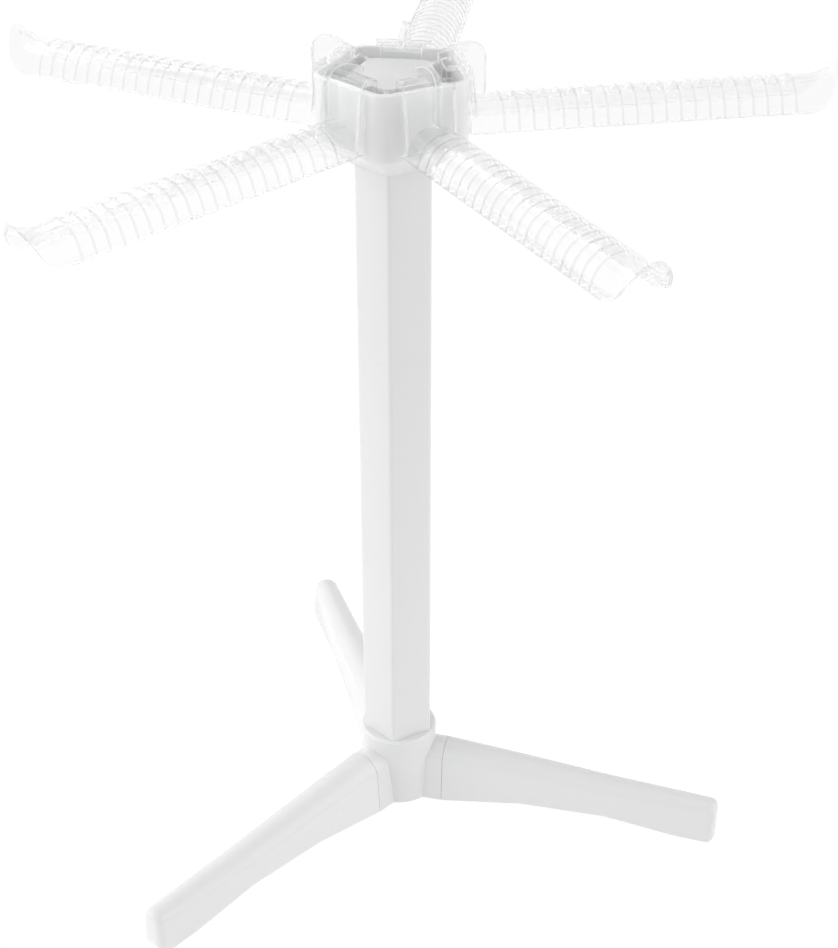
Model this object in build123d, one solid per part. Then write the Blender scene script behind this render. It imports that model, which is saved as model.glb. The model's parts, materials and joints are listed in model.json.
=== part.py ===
from build123d import *
import os
from math import cos, radians, sin, tan

# A knock-down pasta drying rack, in millimetres. The origin is on the column's axis at table height,
# +Z is up, and one arm and one leg point to the front, along -Y.

# Counts and angles
arm_count = 5
leg_count = 3
section_count = 3
rib_count = 21
leg_rib_count = 4
corner_facets = 5
front = -90
half_arm_angle = 180 / arm_count

# Clearances and cutting overrun
push_fit = 0.1
seat_gap = 0.3
slip_gap = 0.6
overrun = 5.0

# Column: three like pentagonal tubes, each with a spigot on top
column_apothem = 16.3
column_corner_radius = 2.6
column_wall = 2.2
section_length = 118.9
spigot_length = 16.0
spigot_wall = 2.0
shelf_thickness = 4.0
seam_chamfer = 0.4
spigot_chamfer = 1.0

# Base hub
hub_underside = 4.0
collar_radius = 21.2
collar_top = 47.3
collar_chamfer = 1.2
core_bore_radius = 9.0
spigot_roof = 2.5
seam_radius = 28.0
plug_inset = 2.6
plug_end_radius = 13.0
plug_chamfer = 1.0

# Leg: sections from the seam out to the nose, each with its underside, crest and half width at the shoulder
leg_draft = 4.5
leg_arch_angle = 62
leg_arch_facets = 8
leg_seam_bottom = 4.0
leg_seam_top = 38.0
leg_seam_half_width = 10.4
leg_inner_radius = 74.0
leg_inner_bottom = 9.6
leg_inner_top = 34.0
leg_inner_half_width = 9.5
leg_outer_radius = 122.0
leg_outer_bottom = 9.4
leg_outer_top = 29.2
leg_outer_half_width = 8.6
leg_heel_reach = 24.6
leg_heel_bottom = 3.2
leg_heel_top = 26.6
leg_heel_half_width = 7.4
leg_tip_radius = 184.6
leg_tip_bottom = 1.4
leg_tip_top = 25.2
leg_tip_half_width = 6.8
leg_nose_radius = 5.0
nose_steps = 3
leg_wall = 2.4
leg_rib_thickness = 1.8
leg_hollow_start = 40.0
leg_hollow_margin = 3.0

# Foot pad, set in a recess under the leg's tip
pad_length = 19.0
pad_width = 10.4
pad_corner_radius = 3.0
pad_thickness = 2.8
pad_setback = 14.1

# Top hub
head_apothem = 32.2
head_corner_radius = 9.5
head_wall = 2.5
head_rim_chamfer = 0.8
skirt_lap = 16.0
skirt_rise = 12.0
skirt_wall = 2.0
pocket_depth = 29.0
core_side_wall = 5.5
core_corner_radius = 5.0
core_wall = 2.4
core_drop = 2.0
web_thickness = 2.4
web_drop = 3.5

# Arm: ribbed half-pipe
arm_drop = 0.8
arm_half_width = 13.5
arm_skirt = 1.0
arm_wall = 2.0
rib_first_radius = 50.4
rib_margin = 1.4
rib_height = 0.8
rib_rise = 0.5
arch_facets = 10
flare_steps = 4
bead_height = 3.0
bead_thickness = 1.0
flare_start_radius = 203.0
flare_curl_radius = 22.0
flare_turn = 50
corner_lead = 1.5
corner_radius = 12.0
corner_turn = 68

# Arm: hook over the top hub's wall
plate_thickness = 2.6
hook_top_thickness = 2.8
hook_bend_radius = 4.6
hook_core_gap = 1.0
hook_leg_thickness = 2.6
hook_leg_drop = 14.0
hook_leg_half_width = 10.0
stiffener_thickness = 3.0
stiffener_reach = 8.6
stiffener_rise = 7.6
stiffener_outer_bend = 7.5
stiffener_inner_bend = 10.0
stiffener_tail_rise = 3.4
edge_flange_thickness = 1.8
edge_flange_reach = 3.4

# Heights and radii that follow
column_foot = collar_top
column_top = column_foot + section_count * section_length
socket_apothem = column_apothem - column_wall
spigot_apothem = socket_apothem - push_fit
spigot_corner_radius = column_corner_radius - push_fit
leg_start = seam_radius + seat_gap
leg_heel_radius = leg_tip_radius - leg_heel_reach
leg_hollow_end = leg_heel_radius - leg_hollow_margin
pad_centre_radius = leg_tip_radius - pad_setback
head_bottom = column_top - skirt_lap
head_shoulder = head_bottom + skirt_rise
head_rim = column_top + pocket_depth
core_apothem = socket_apothem + core_side_wall
core_top = head_rim - core_drop
web_top = head_rim - web_drop
plate_inner = head_apothem + seat_gap
plate_outer = plate_inner + plate_thickness
hook_under = head_rim + seat_gap
hook_top = hook_under + hook_top_thickness
hook_inner_radius = core_apothem + hook_core_gap
hook_leg_bottom = head_rim - hook_leg_drop
arm_bottom = column_top - arm_drop
arch_centre = arm_bottom + arm_skirt
arm_crest = arch_centre + arm_half_width
rib_pitch = (flare_start_radius - rib_margin - rib_first_radius) / rib_count
rib_last_radius = rib_first_radius + (rib_count - 1) * rib_pitch
corner_start_radius = flare_start_radius - corner_lead


def panelled(outlines):
    """A solid with flat panels between the matching points of successive outlines."""
    faces = [make_face(Polyline(*outline, close=True)) for outline in (outlines[0], outlines[-1])]
    for near, far in zip(outlines, outlines[1:]):
        for number, point in enumerate(near):
            after = (number + 1) % len(near)
            faces.append(make_face(Polyline(point, near[after], far[after], far[number], close=True)))
    return Solid(Shell(faces))


def pentagon_outline(apothem, corner_radius, height):
    """A five-sided outline at a height, with a side towards each arm and round corners of short flats."""
    points = []
    centre_distance = (apothem - corner_radius) / cos(radians(half_arm_angle))
    for corner in range(arm_count):
        middle = front + half_arm_angle + corner * 360 / arm_count
        centre_x = centre_distance * cos(radians(middle))
        centre_y = centre_distance * sin(radians(middle))
        for number in range(corner_facets + 1):
            angle = radians(middle + half_arm_angle * (2 * number / corner_facets - 1))
            x = centre_x + corner_radius * cos(angle)
            y = centre_y + corner_radius * sin(angle)
            points.append((x, y, height))
    return points


def pentagon(apothem, corner_radius, bottom, top):
    """An upright prism on such an outline."""
    return panelled([pentagon_outline(apothem, corner_radius, height) for height in (bottom, top)])


def turned(shape, angle):
    """The shape, modelled along +X, turned about the column's axis."""
    return Rotation(0, 0, angle) * shape


def leg_section(radius, bottom, top, half_width):
    """The outline of a leg across its length: drafted flanks below an arch of short flats."""
    arch_radius = half_width / sin(radians(leg_arch_angle))
    arch_middle = top - arch_radius
    shoulder = arch_middle + arch_radius * cos(radians(leg_arch_angle))
    foot_half_width = half_width + (shoulder - bottom) * tan(radians(leg_draft))
    points = [(radius, -foot_half_width, bottom)]
    for number in range(leg_arch_facets + 1):
        angle = radians(leg_arch_angle * (2 * number / leg_arch_facets - 1))
        points.append((radius, arch_radius * sin(angle), arch_middle + arch_radius * cos(angle)))
    points.append((radius, foot_half_width, bottom))
    return points


def seam_section(radius, inset):
    """The section shared by a lug and a leg's root, drawn in by an inset."""
    return leg_section(radius, leg_seam_bottom + inset, leg_seam_top - inset, leg_seam_half_width - inset)


def leg_sections(inset, deepening):
    """The sections of a leg from its seam to its tip, drawn in by an inset and deepened below."""
    profile = [
        (leg_start, leg_seam_bottom, leg_seam_top, leg_seam_half_width),
        (leg_inner_radius, leg_inner_bottom, leg_inner_top, leg_inner_half_width),
        (leg_outer_radius, leg_outer_bottom, leg_outer_top, leg_outer_half_width),
        (leg_heel_radius, leg_heel_bottom, leg_heel_top, leg_heel_half_width),
        (leg_tip_radius - leg_nose_radius, leg_tip_bottom, leg_tip_top, leg_tip_half_width),
    ]
    return [leg_section(r, low - deepening, high - inset, half - inset) for r, low, high, half in profile]


def nose_sections():
    """Sections past a leg's tip section, drawn in along a quarter circle so that the nose is round."""
    sections = []
    for number in range(1, nose_steps + 1):
        angle = radians(90 * number / (nose_steps + 1))
        radius = leg_tip_radius - leg_nose_radius * (1 - sin(angle))
        inset = leg_nose_radius * (1 - cos(angle))
        heights = (leg_tip_bottom + inset, leg_tip_top - inset)
        sections.append(leg_section(radius, *heights, leg_tip_half_width - inset))
    return sections


def leg_form():
    """The outside form of a leg, with its nose rounded."""
    return panelled(leg_sections(0, 0) + nose_sections())


def leg_hollow():
    """The hollow under a leg, open below, with ribs left standing across it."""
    hollow = panelled(leg_sections(leg_wall, overrun))
    length = leg_hollow_end - leg_hollow_start
    tall = leg_seam_top * 2 + overrun
    hollow &= Pos(leg_hollow_start + length / 2, 0, 0) * Box(length, collar_radius * 2, tall)
    bay = (length + leg_rib_thickness) / (leg_rib_count + 1)
    for number in range(1, leg_rib_count + 1):
        place = leg_hollow_start + number * bay - leg_rib_thickness / 2
        hollow -= Pos(place, 0, 0) * Box(leg_rib_thickness, collar_radius * 2, tall)
    return hollow


def pad_form(growth, bottom, top):
    """A foot pad's rounded slab, or the recess that it sits in when grown."""
    outline = RectangleRounded(pad_length + 2 * growth, pad_width + 2 * growth, pad_corner_radius + growth)
    return Pos(pad_centre_radius, 0, bottom) * extrude(outline, top - bottom)


def leg():
    """One leg along +X, with its plug, underside hollow and pad recess."""
    lead_in_end = plug_end_radius + plug_chamfer
    lead_in = seam_section(plug_end_radius, plug_inset + plug_chamfer)
    plug_sections = [seam_section(radius, plug_inset) for radius in (lead_in_end, leg_start + leg_wall)]
    plug = panelled([lead_in, *plug_sections])
    body = leg_form() + plug
    body -= leg_hollow()
    body -= pad_form(push_fit, -overrun, pad_thickness)
    return body


def foot_pad():
    """A soft pad that stands a little below the leg's underside."""
    return pad_form(0, 0, pad_thickness)


def column_section():
    """A pentagonal tube with a spigot on top and the matching socket below."""
    end_apothem = column_apothem - seam_chamfer
    end_corner_radius = column_corner_radius - seam_chamfer
    tube = panelled([
        pentagon_outline(end_apothem, end_corner_radius, 0),
        pentagon_outline(column_apothem, column_corner_radius, seam_chamfer),
        pentagon_outline(column_apothem, column_corner_radius, section_length - seam_chamfer),
        pentagon_outline(end_apothem, end_corner_radius, section_length),
    ])
    socket = pentagon(socket_apothem, column_corner_radius, -overrun, section_length - shelf_thickness)
    bore_apothem = spigot_apothem - spigot_wall
    bore_corner_radius = spigot_corner_radius - spigot_wall
    bore = pentagon(bore_apothem, bore_corner_radius, 0, section_length + spigot_length + overrun)
    return tube + spigot(section_length) - socket - bore


def spigot(bottom):
    """The pentagonal spigot that a column section or the top hub pushes onto, with a lead-in at its top."""
    shoulder = bottom + spigot_length - spigot_chamfer
    lead_in = pentagon_outline(
        spigot_apothem - spigot_chamfer, spigot_corner_radius - spigot_chamfer, bottom + spigot_length
    )
    return panelled([
        pentagon_outline(spigot_apothem, spigot_corner_radius, bottom),
        pentagon_outline(spigot_apothem, spigot_corner_radius, shoulder),
        lead_in,
    ])


def base_hub():
    """The collar with three lugs, their leg sockets and the spigot for the column."""
    collar = Pos(0, 0, hub_underside) * extrude(Circle(collar_radius), collar_top - hub_underside)
    collar = chamfer(collar.faces().sort_by(Axis.Z)[-1].edges(), collar_chamfer)
    lug = panelled([seam_section(0, 0), seam_section(seam_radius, 0)])
    socket_inset = plug_inset - push_fit
    socket_ends = (plug_end_radius - seat_gap, seam_radius + overrun)
    socket = panelled([seam_section(radius, socket_inset) for radius in socket_ends])
    for number in range(leg_count):
        collar += turned(lug, front + number * 360 / leg_count)
    for number in range(leg_count):
        collar -= turned(socket, front + number * 360 / leg_count)
    hub = collar + spigot(collar_top)
    bore_length = collar_top + spigot_length - spigot_roof - hub_underside
    return hub - Pos(0, 0, hub_underside) * extrude(Circle(core_bore_radius), bore_length)


def top_hub():
    """The pentagonal head: skirt and socket for the column, wall, core, corner webs and pockets."""
    skirt_apothem = column_apothem + push_fit + skirt_wall
    skirt_corner_radius = column_corner_radius + push_fit + skirt_wall
    head = panelled([
        pentagon_outline(skirt_apothem, skirt_corner_radius, head_bottom),
        pentagon_outline(head_apothem, head_corner_radius, head_shoulder),
        pentagon_outline(head_apothem, head_corner_radius, head_rim - head_rim_chamfer),
        pentagon_outline(head_apothem - head_rim_chamfer, head_corner_radius - head_rim_chamfer, head_rim),
    ])
    inner_apothem = head_apothem - head_wall
    pockets = pentagon(inner_apothem, head_corner_radius - head_wall, column_top, head_rim + overrun)
    pockets -= pentagon(core_apothem, core_corner_radius, column_top - overrun, core_top)
    for number in range(arm_count):
        placing = (Align.MIN, Align.CENTER, Align.MIN)
        web = Box(head_apothem, web_thickness, web_top - column_top, align=placing)
        web = Pos(core_apothem - core_wall, 0, column_top) * web
        pockets -= turned(web, front + half_arm_angle + number * 360 / arm_count)
    head -= pockets
    skirt_corner = column_corner_radius + push_fit
    head -= pentagon(column_apothem + push_fit, skirt_corner, head_bottom - overrun, column_top)
    return head - pentagon(socket_apothem, column_corner_radius, column_top - overrun, core_top - core_wall)


def arch_points(place, radius):
    """The points of a half round across the half-pipe at a place along it."""
    points = []
    for number in range(arch_facets + 1):
        angle = radians(180 * number / arch_facets)
        points.append((place, radius * cos(angle), arch_centre + radius * sin(angle)))
    return points


def arch_outline(place, radius, bottom):
    """Such a half round with straight sides down to a height below it."""
    return [(place, radius, bottom), *arch_points(place, radius), (place, -radius, bottom)]


def ribbed_shell():
    """The half-round shell with low ribs round it: each rises at a step and runs out to the next."""
    steps = [(plate_inner, arm_half_width)]
    for number in range(rib_count):
        radius = rib_first_radius + number * rib_pitch
        steps.append((radius - rib_rise, arm_half_width))
        steps.append((radius, arm_half_width + rib_height))
    steps.append((rib_last_radius + rib_pitch, arm_half_width))
    steps.append((flare_start_radius, arm_half_width))
    shell = panelled([arch_points(place, radius) for place, radius in steps])
    bore_radius = arm_half_width - arm_wall
    bore_ends = (plate_inner - overrun, flare_start_radius + overrun)
    return shell - panelled([arch_outline(place, bore_radius, arm_bottom) for place in bore_ends])


def arm_edges():
    """The beads along both lower edges of the half-pipe, which the ribs run down to."""
    length = flare_start_radius - plate_inner
    width = arm_wall + bead_thickness
    bead = Box(length, width, bead_height, align=(Align.MIN, Align.CENTER, Align.MIN))
    middle = arm_half_width + bead_thickness - width / 2
    return [Pos(plate_inner, side * middle, arm_bottom) * bead for side in (-1, 1)]


def flare():
    """The plain end of the arm, curling up past the last rib in short steps."""
    outer = arch_outline(flare_start_radius, arm_half_width, arm_bottom)
    inner = arch_outline(flare_start_radius, arm_half_width - arm_wall, arm_bottom)
    wall_face = make_face(Polyline(*outer, *reversed(inner), close=True))
    axis = Axis((flare_start_radius, 0, arm_crest + flare_curl_radius), (0, -1, 0))
    turns = [flare_turn * number / flare_steps for number in range(flare_steps + 1)]
    return loft([wall_face.rotate(axis, turn) for turn in turns], ruled=True)


def end_trim():
    """What is cut away so that the arm's end has round lower corners and a leaning edge."""
    side_view = Plane(origin=(0, 0, 0), x_dir=(1, 0, 0), z_dir=(0, -1, 0))
    corner = CenterArc((corner_start_radius, arm_bottom + corner_radius), corner_radius, -90, corner_turn)
    top = arm_crest + flare_curl_radius
    lean_end = ((corner @ 1).X + (top - (corner @ 1).Y) / tan(radians(corner_turn)), top)
    far = flare_start_radius + arm_half_width + flare_curl_radius * 2
    points = [corner @ 1, lean_end, (far, top), (far, arm_bottom - overrun)]
    points += [(corner_start_radius, arm_bottom - overrun), corner @ 0]
    outline = [corner] + [Line(a, b) for a, b in zip(points, points[1:])]
    return extrude(side_view * make_face(outline), arm_half_width * 2, both=True)


def hook():
    """The plate in front of the hub's wall, its bend over the rim and the leg that drops behind."""
    side_view = Plane(origin=(0, 0, 0), x_dir=(1, 0, 0), z_dir=(0, -1, 0))
    leg_outer = hook_inner_radius + hook_leg_thickness
    outline = Polyline(
        (plate_outer, arm_bottom),
        (plate_outer, hook_top),
        (hook_inner_radius, hook_top),
        (hook_inner_radius, hook_leg_bottom),
        (leg_outer, hook_leg_bottom),
        (leg_outer, hook_under),
        (plate_inner, hook_under),
        (plate_inner, arm_bottom),
        close=True,
    )
    face = make_face(outline)
    outer_bend = face.vertices().sort_by_distance((plate_outer, hook_top))[0]
    face = fillet(outer_bend, hook_bend_radius)
    inner_bend = face.vertices().sort_by_distance((hook_inner_radius, hook_top))[0]
    face = fillet(inner_bend, hook_leg_thickness)
    solid = extrude(side_view * face, arm_half_width, both=True)
    neck = head_apothem - head_wall - slip_gap
    plan = Polyline(
        (hook_inner_radius - overrun, -hook_leg_half_width),
        (neck, -hook_leg_half_width),
        (plate_inner, -arm_half_width),
        (plate_outer + overrun, -arm_half_width),
        (plate_outer + overrun, arm_half_width),
        (plate_inner, arm_half_width),
        (neck, hook_leg_half_width),
        (hook_inner_radius - overrun, hook_leg_half_width),
        close=True,
    )
    return solid & Pos(0, 0, arm_bottom) * extrude(make_face(plan), hook_top - arm_bottom)


def stiffener():
    """The upright rib on the middle of the hook, from the arm's crest over the bend."""
    side_view = Plane(origin=(0, 0, 0), x_dir=(1, 0, 0), z_dir=(0, -1, 0))
    root = plate_outer - plate_thickness / 2
    apex = hook_top + stiffener_rise
    outer = plate_outer + stiffener_reach
    middle = (plate_outer + hook_inner_radius) / 2 + stiffener_outer_bend / 2
    outline = Polyline(
        (root, arm_crest - arm_wall / 2),
        (outer, arm_crest - arm_wall / 2),
        (outer, apex),
        (middle, apex),
        (hook_inner_radius, hook_top + stiffener_tail_rise),
        (hook_inner_radius, hook_top - hook_top_thickness / 2),
        (root, hook_top - hook_top_thickness / 2),
        close=True,
    )
    face = make_face(outline)
    face = fillet(face.vertices().sort_by_distance((outer, apex))[0], stiffener_outer_bend)
    face = fillet(face.vertices().sort_by_distance((middle, apex))[0], stiffener_inner_bend)
    return extrude(side_view * face, stiffener_thickness / 2, both=True)


def edge_flanges():
    """The narrow flanges down both side edges of the hook's plate, deepest at the arm."""
    side_view = Plane(origin=(0, 0, 0), x_dir=(1, 0, 0), z_dir=(0, -1, 0))
    root = plate_outer - plate_thickness / 2
    outline = Polyline(
        (root, arm_bottom),
        (plate_outer + edge_flange_reach, arm_bottom),
        (plate_outer, hook_top - hook_bend_radius),
        (root, hook_top - hook_bend_radius),
        close=True,
    )
    blade = extrude(side_view * make_face(outline), edge_flange_thickness / 2, both=True)
    place = arm_half_width - edge_flange_thickness / 2
    return [Pos(0, -place, 0) * blade, Pos(0, place, 0) * blade]


def arm():
    """One clear arm along +X: ribbed half-pipe, flared end and hook."""
    pipe = ribbed_shell() + arm_edges() + flare() - end_trim()
    return pipe + hook() + stiffener() + edge_flanges()


def save(name, shape):
    """Write one piece to its own file."""
    export_step(shape, f"parts/{name}.step")


def build():
    """Make every piece in its place and write it."""
    os.makedirs("parts", exist_ok=True)
    save("base_hub", base_hub())
    one_leg = leg()
    one_pad = foot_pad()
    for number, side in enumerate(("front", "right", "left")):
        angle = front + number * 360 / leg_count
        save(f"leg_{side}", turned(one_leg, angle))
        save(f"foot_pad_{side}", turned(one_pad, angle))
    one_section = column_section()
    for number, height in enumerate(("lower", "middle", "upper")):
        save(f"column_{height}", Pos(0, 0, column_foot + number * section_length) * one_section)
    save("top_hub", top_hub())
    one_arm = arm()
    for number, side in enumerate(("front", "right", "rear_right", "rear_left", "left")):
        save(f"arm_{side}", turned(one_arm, front + number * 360 / arm_count))


build()
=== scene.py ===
import json
import logging
import math
from abc import ABC, abstractmethod
from collections.abc import Callable, Sequence
from dataclasses import dataclass
from enum import Enum

import bpy
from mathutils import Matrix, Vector

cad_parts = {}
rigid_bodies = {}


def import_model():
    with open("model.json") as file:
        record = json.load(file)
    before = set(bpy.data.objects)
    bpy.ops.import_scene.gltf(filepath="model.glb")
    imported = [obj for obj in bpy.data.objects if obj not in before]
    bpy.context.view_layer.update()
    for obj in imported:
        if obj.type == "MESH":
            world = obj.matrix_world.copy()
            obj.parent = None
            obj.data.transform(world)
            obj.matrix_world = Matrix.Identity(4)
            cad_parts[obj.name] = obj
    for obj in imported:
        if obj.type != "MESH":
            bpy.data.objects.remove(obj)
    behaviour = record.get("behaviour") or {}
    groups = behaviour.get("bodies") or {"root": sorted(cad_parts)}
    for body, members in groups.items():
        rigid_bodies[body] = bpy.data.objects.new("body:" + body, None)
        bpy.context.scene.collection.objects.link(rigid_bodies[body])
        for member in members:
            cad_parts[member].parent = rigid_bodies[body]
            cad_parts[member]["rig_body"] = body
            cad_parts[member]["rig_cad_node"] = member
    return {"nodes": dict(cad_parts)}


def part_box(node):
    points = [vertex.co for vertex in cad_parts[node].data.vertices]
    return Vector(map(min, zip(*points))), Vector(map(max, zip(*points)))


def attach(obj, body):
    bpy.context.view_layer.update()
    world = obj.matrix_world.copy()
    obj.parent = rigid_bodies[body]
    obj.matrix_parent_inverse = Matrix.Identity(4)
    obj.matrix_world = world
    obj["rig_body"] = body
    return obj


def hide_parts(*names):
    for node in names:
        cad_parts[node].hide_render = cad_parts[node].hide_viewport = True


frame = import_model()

LOG = logging.getLogger("pasta_rack")
MM = 0.001
TINY = 0.01 * MM
# The least share of a face's normal along the axis that the face counts as facing.
FACING = 0.9
WHITE_LIGHT = (1, 1, 1, 1)
Colour = tuple[float, float, float]


class Arm(Enum):
    """The five arms, each with the angle that it points to, in degrees from +X."""

    FRONT = -90
    RIGHT = -18
    REAR_RIGHT = 54
    REAR_LEFT = 126
    LEFT = 198

    @property
    def node(self) -> str:
        """The arm's name in the frame."""
        return f"arm_{self.name.lower()}"


class Leg(Enum):
    """The three legs, each with the angle that it points to, in degrees from +X."""

    FRONT = -90
    RIGHT = 30
    LEFT = 150

    @property
    def node(self) -> str:
        """The leg's name in the frame, which is also its body's."""
        return f"leg_{self.name.lower()}"

    @property
    def pad_node(self) -> str:
        """The name of the pad under the leg's tip."""
        return f"foot_pad_{self.name.lower()}"

    @property
    def away(self) -> Vector:
        """The direction in which the leg points, away from the column."""
        turn = math.radians(self.value)
        return Vector((math.cos(turn), math.sin(turn), 0))


class Coat(Enum):
    """The places of the clear arm's finishes in the list that each of its forms has: the clear plastic,
    the painted shade lines and the painted highlights.
    """

    CLEAR = 0
    RIB_LINE = 1
    LIT_EDGE = 2


class Slot(Enum):
    """The material slots that the record names."""

    WHITE = "white_plastic"
    CLEAR = "clear_plastic"
    PAD = "soft_pad"


class Mask(Enum):
    """What the moulded grain puts out."""

    HEIGHT = "Height"
    MOTTLE = "Mottle"
    SCUFF = "Scuff"


def deselect_all() -> None:
    """Leave nothing selected, so that an operator acts on one piece only."""
    bpy.ops.object.select_all(action="DESELECT")


def activate(piece: bpy.types.Object) -> None:
    """Select one piece alone and make it active.

    Args:
        piece: The object to work on.
    """
    deselect_all()
    piece.select_set(True)
    bpy.context.view_layer.objects.active = piece


def settle(piece: bpy.types.Object) -> None:
    """Move a piece's place, turn and size into its mesh.

    Args:
        piece: The object whose transform is applied.
    """
    activate(piece)
    bpy.ops.object.transform_apply(location=True, rotation=True, scale=True)


def unpick(piece: bpy.types.Object) -> bpy.types.Mesh:
    """Leave edit mode, with nothing of the mesh selected.

    Args:
        piece: The active object.

    Returns:
        The object's mesh, with all that was done in edit mode.
    """
    bpy.ops.object.mode_set(mode="OBJECT")
    mesh = piece.data
    for parts in (mesh.vertices, mesh.edges, mesh.polygons):
        parts.foreach_set("select", [False] * len(parts))
    return mesh


def pick_vertices(piece: bpy.types.Object, wanted: Callable[[Vector], bool]) -> None:
    """Select a mesh's vertices by their place, and end in edit mode.

    Args:
        piece: The active object.
        wanted: Says whether a vertex at that place is selected.
    """
    mesh = unpick(piece)
    mesh.vertices.foreach_set("select", [wanted(vertex.co) for vertex in mesh.vertices])
    bpy.ops.object.mode_set(mode="EDIT")
    bpy.ops.mesh.select_mode(type="VERT")


def pick_faces(piece: bpy.types.Object, wanted: Callable[[Vector, Vector], bool]) -> None:
    """Select a mesh's faces by centre and normal, and end in edit mode.

    Args:
        piece: The active object.
        wanted: Says whether a face with that centre and normal is selected.
    """
    mesh = unpick(piece)
    mesh.polygons.foreach_set("select", [wanted(face.center, face.normal) for face in mesh.polygons])
    bpy.ops.object.mode_set(mode="EDIT")
    bpy.ops.mesh.select_mode(type="FACE")


def pick_edges(piece: bpy.types.Object, wanted: Callable[[Vector, Vector], bool]) -> None:
    """Select a mesh's edges by their two ends, and end in edit mode.

    Args:
        piece: The active object.
        wanted: Says whether an edge between those two places is selected.
    """
    mesh = unpick(piece)
    places = [vertex.co for vertex in mesh.vertices]
    chosen = [wanted(places[edge.vertices[0]], places[edge.vertices[1]]) for edge in mesh.edges]
    mesh.edges.foreach_set("select", chosen)
    bpy.ops.object.mode_set(mode="EDIT")
    bpy.ops.mesh.select_mode(type="EDGE")


def push(direction: Sequence[float]) -> None:
    """Extrude what is selected by a vector.

    Args:
        direction: How far to push, in metres.
    """
    bpy.ops.mesh.extrude_region_move(TRANSFORM_OT_translate={"value": tuple(direction)})


def bend(width: float, segments: int) -> None:
    """Round the selected edges.

    Args:
        width: How far the round reaches on each side, in metres.
        segments: How many steps the round has.
    """
    bpy.ops.mesh.bevel(offset=width, offset_type="OFFSET", segments=segments)


def face_outwards(merge: bool = False) -> None:
    """Turn all faces of the mesh in edit mode outwards.

    Args:
        merge: Whether its doubles are merged first.
    """
    bpy.ops.mesh.select_all(action="SELECT")
    if merge:
        bpy.ops.mesh.remove_doubles(threshold=TINY)
    bpy.ops.mesh.normals_make_consistent(inside=False)


def new_block(name: str, low: Sequence[float], high: Sequence[float]) -> bpy.types.Object:
    """Add a block between two corners, ready to be shaped in edit mode.

    Args:
        name: The object's name.
        low: The lowest corner, in metres.
        high: The highest corner, in metres.

    Returns:
        The new object, active and in edit mode.
    """
    deselect_all()
    middle = [(a + b) / 2 for a, b in zip(low, high)]
    bpy.ops.mesh.primitive_cube_add(size=1, location=middle)
    block = bpy.context.object
    block.name = name
    block.scale = [b - a for a, b in zip(low, high)]
    settle(block)
    bpy.ops.object.mode_set(mode="EDIT")
    return block


def round_edges(
    piece: bpy.types.Object, width: float, segments: int, angle: float = 30, coat: Coat | None = None
) -> None:
    """Round a piece's sharp edges with an applied bevel.

    Args:
        piece: The object to round.
        width: The bevel's width, in metres.
        segments: How many steps the round has.
        angle: The least angle of an edge that is rounded, in degrees.
        coat: The rounds' finish, or None for that of the faces beside them.
    """
    activate(piece)
    bevel = piece.modifiers.new("rounding", "BEVEL")
    bevel.width = width
    bevel.segments = segments
    bevel.limit_method = "ANGLE"
    bevel.angle_limit = math.radians(angle)
    bevel.material = -1 if coat is None else coat.value
    bpy.ops.object.modifier_apply(modifier=bevel.name)


def sharp_edges(piece: bpy.types.Object, angle: float) -> list[bool]:
    """Find the edges that are sharper than an angle.

    Args:
        piece: The active object.
        angle: The angle, in degrees.

    Returns:
        For each edge, whether it is sharper.
    """
    bpy.ops.object.mode_set(mode="EDIT")
    bpy.ops.mesh.select_mode(type="EDGE")
    bpy.ops.mesh.select_all(action="DESELECT")
    bpy.ops.mesh.edges_select_sharp(sharpness=math.radians(angle))
    bpy.ops.object.mode_set(mode="OBJECT")
    return [edge.select for edge in piece.data.edges]


def soften_ridges(
    piece: bpy.types.Object, width: float, low: float = 26, high: float = 40, segments: int = 5
) -> None:
    """Round the blunt ridges of a piece widely, and leave its sharper edges.

    Args:
        piece: The object to soften.
        width: How wide the round reaches on each side, in metres.
        low: The least angle of a ridge, in degrees.
        high: The greatest angle of a ridge, in degrees.
        segments: How many steps the round has.
    """
    activate(piece)
    sharper = sharp_edges(piece, high)
    ridges = [blunt and not sharp for blunt, sharp in zip(sharp_edges(piece, low), sharper)]
    unpick(piece).edges.foreach_set("select", ridges)
    bpy.ops.object.mode_set(mode="EDIT")
    bpy.ops.mesh.bevel(offset=width, offset_type="OFFSET", segments=segments, clamp_overlap=True)
    bpy.ops.object.mode_set(mode="OBJECT")


def combine(piece: bpy.types.Object, other: bpy.types.Object, operation: str) -> None:
    """Join or cut a piece with another one, which is used up.

    Args:
        piece: The object that stays.
        other: The object that is added or taken away.
        operation: UNION or DIFFERENCE.
    """
    activate(piece)
    boolean = piece.modifiers.new("combine", "BOOLEAN")
    boolean.operation = operation
    boolean.solver = "EXACT"
    boolean.object = other
    bpy.ops.object.modifier_apply(modifier=boolean.name)
    bpy.data.objects.remove(other)


def smooth(piece: bpy.types.Object, angle: float = 32) -> None:
    """Shade a piece smooth, with edges sharper than an angle kept crisp.

    Args:
        piece: The object to shade.
        angle: The crisp edges' least angle, in degrees.
    """
    activate(piece)
    bpy.ops.object.shade_smooth_by_angle(angle=math.radians(angle))


def report(piece: bpy.types.Object) -> None:
    """Log a finished piece's name and size.

    Args:
        piece: The finished object.
    """
    size = [round(length / MM, 1) for length in piece.dimensions]
    LOG.info("%s: %d faces, %s mm", piece.name, len(piece.data.polygons), size)


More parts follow.
